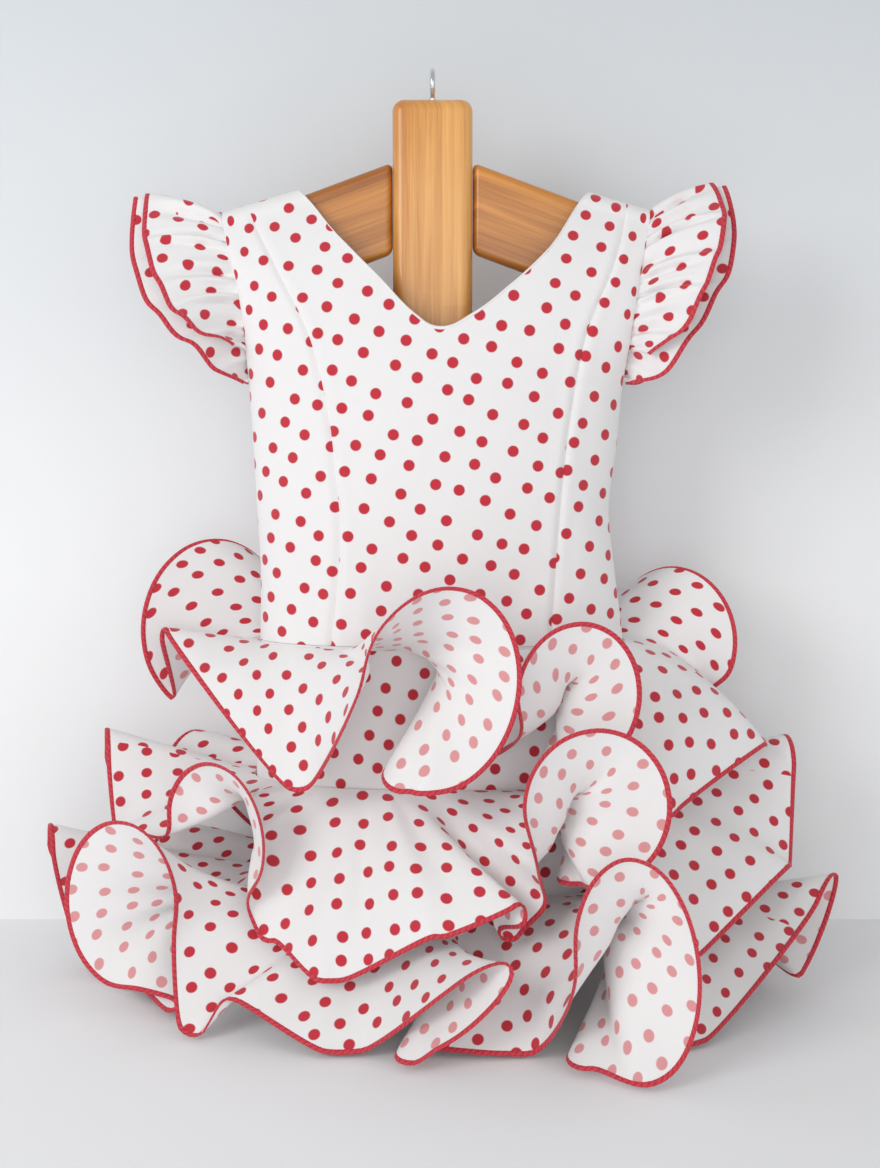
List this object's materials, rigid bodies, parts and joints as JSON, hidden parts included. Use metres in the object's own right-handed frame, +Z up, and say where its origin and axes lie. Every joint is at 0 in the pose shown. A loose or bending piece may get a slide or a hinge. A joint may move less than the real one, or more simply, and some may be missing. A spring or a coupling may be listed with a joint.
{
  "type": "flamenco dress on a hanger",
  "caption": "Child's flamenco dress with a V neck, flutter sleeves and tiered ruffle skirt in red-dotted white cloth, hung on a wooden hanger.",
  "frame": {"origin": "where the hanger's wire hook bears on the rail, under the top of its bend", "axes": "+Z up, +X to the right as seen from the front, front of the dress towards -Y"},
  "size_m": [0.5671, 0.286, 0.6296],
  "materials": {
    "dotted_cloth": "matt white crepe with red dots",
    "ruffle_cloth": "matt white crepe with red dots and red edging",
    "wood": "satin varnished beech",
    "wire": "bright"
  },
  "bodies": {
    "root": {"centre_front": "dotted_cloth", "side_front_left": "dotted_cloth", "side_front_right": "dotted_cloth", "back_left": "dotted_cloth", "back_right": "dotted_cloth", "skirt_base_front": "dotted_cloth", "skirt_base_back": "dotted_cloth", "tier_1_front": "ruffle_cloth", "tier_1_back": "ruffle_cloth", "tier_2_front": "ruffle_cloth", "tier_2_back": "ruffle_cloth", "tier_3_front": "ruffle_cloth", "tier_3_back": "ruffle_cloth", "sleeve_left_top": "ruffle_cloth", "sleeve_left_under": "ruffle_cloth", "sleeve_right_top": "ruffle_cloth", "sleeve_right_under": "ruffle_cloth", "hanger_post": "wood", "hanger_arm_left": "wood", "hanger_arm_right": "wood", "hook": "wire"}
  },
  "joints": []
}
